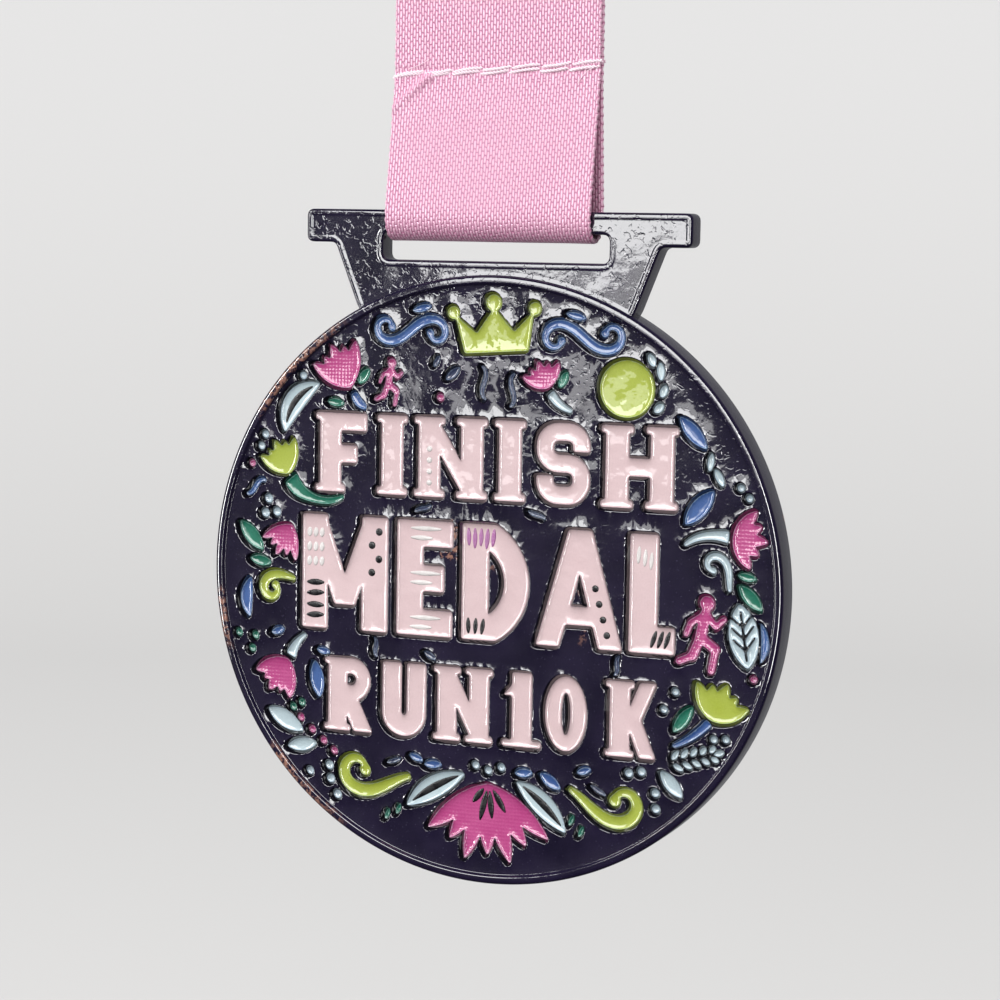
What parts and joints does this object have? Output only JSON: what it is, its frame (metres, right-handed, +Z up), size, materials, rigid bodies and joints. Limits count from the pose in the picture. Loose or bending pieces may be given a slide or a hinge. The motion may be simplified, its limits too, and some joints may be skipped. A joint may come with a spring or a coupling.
{
  "type": "sports finisher medal",
  "caption": "Round enamelled finisher medal whose slotted header swings in the sewn loop of a satin neck ribbon.",
  "frame": {"origin": "on the axis of the ribbon's hanging loop, where the hook or peg that holds it passes, midway across the header", "axes": "+X across the ribbon to the right as seen from the front, -Y out of the medal's decorated face, +Z up along the ribbon"},
  "size_m": [0.07, 0.0086, 0.1193],
  "materials": {
    "lacquer": "gloss black-violet lacquer with orange peel",
    "enamel_rose": "gloss pale rose enamel",
    "enamel_magenta": "gloss magenta enamel",
    "enamel_lime": "gloss lime enamel",
    "enamel_blue": "gloss mid-blue enamel",
    "enamel_sky": "gloss pale blue-grey enamel",
    "enamel_green": "gloss deep green enamel",
    "enamel_pearl": "gloss pale dots",
    "enamel_violet": "gloss dark violet enamel",
    "paint_black": "gloss black paint",
    "paint_violet": "gloss violet paint",
    "paint_white": "gloss off-white paint",
    "ribbon_satin": "pink satin-weave polyester ribbon",
    "seam_thread": "twisted white-pink sewing thread"
  },
  "bodies": {
    "neck_band": {"neck_ribbon": "ribbon_satin"},
    "loop_band": {"medal_loop": "ribbon_satin", "seam_thread": "seam_thread"},
    "medal": {"accents_black": "paint_black", "accents_violet": "paint_violet", "accents_white": "paint_white", "bell_flower": "enamel_magenta", "bottom_letter_1": "enamel_rose", "bottom_letter_2": "enamel_rose", "bottom_letter_3": "enamel_rose", "bottom_letter_4": "enamel_rose", "bottom_letter_5": "enamel_rose", "bottom_letter_6": "enamel_rose", "bottom_scroll_left": "enamel_lime", "bottom_scroll_right": "enamel_lime", "casting": "lacquer", "crescent_upper_left": "enamel_sky", "crescents_blue": "enamel_blue", "crown": "enamel_lime", "dark_curls": "enamel_violet", "dashes_green": "enamel_green", "dots_pale": "enamel_pearl", "dots_pink": "enamel_magenta", "fern": "enamel_sky", "flower_bottom": "enamel_magenta", "flower_left": "enamel_magenta", "flower_right": "enamel_magenta", "flower_right_lime": "enamel_lime", "large_runner": "enamel_magenta", "leaf_bottom_left": "enamel_sky", "leaf_bottom_right": "enamel_sky", "leaves_blue": "enamel_blue", "leaves_green": "enamel_green", "leaves_sky": "enamel_sky", "middle_letter_1": "enamel_rose", "middle_letter_2": "enamel_rose", "middle_letter_3": "enamel_rose", "middle_letter_4": "enamel_rose", "middle_letter_5": "enamel_rose", "small_runner": "enamel_magenta", "spiral_left": "enamel_lime", "stems_blue": "enamel_blue", "stems_green": "enamel_green", "stems_sky": "enamel_sky", "sun_disc": "enamel_lime", "sun_rays": "enamel_sky", "top_letter_1": "enamel_rose", "top_letter_2": "enamel_rose", "top_letter_3": "enamel_rose", "top_letter_4": "enamel_rose", "top_letter_5": "enamel_rose", "top_letter_6": "enamel_rose", "top_scroll_left": "enamel_blue", "top_scroll_right": "enamel_blue", "tulip_left": "enamel_lime", "tulip_upper_left": "enamel_magenta", "tulip_upper_middle": "enamel_magenta", "veined_leaf": "enamel_sky"}
  },
  "joints": [
    {"name": "ribbon_fold", "type": "hinge", "parent": "neck_band", "child": "loop_band", "pos_m": [0, 0, -0.02], "axis": [1, 0, 0], "range_deg": [-60, 60]},
    {"name": "medal_swing", "type": "hinge", "parent": "loop_band", "child": "medal", "pos_m": [0, 0, -0.03905], "axis": [1, 0, 0], "range_deg": [-90, 90]}
  ]
}
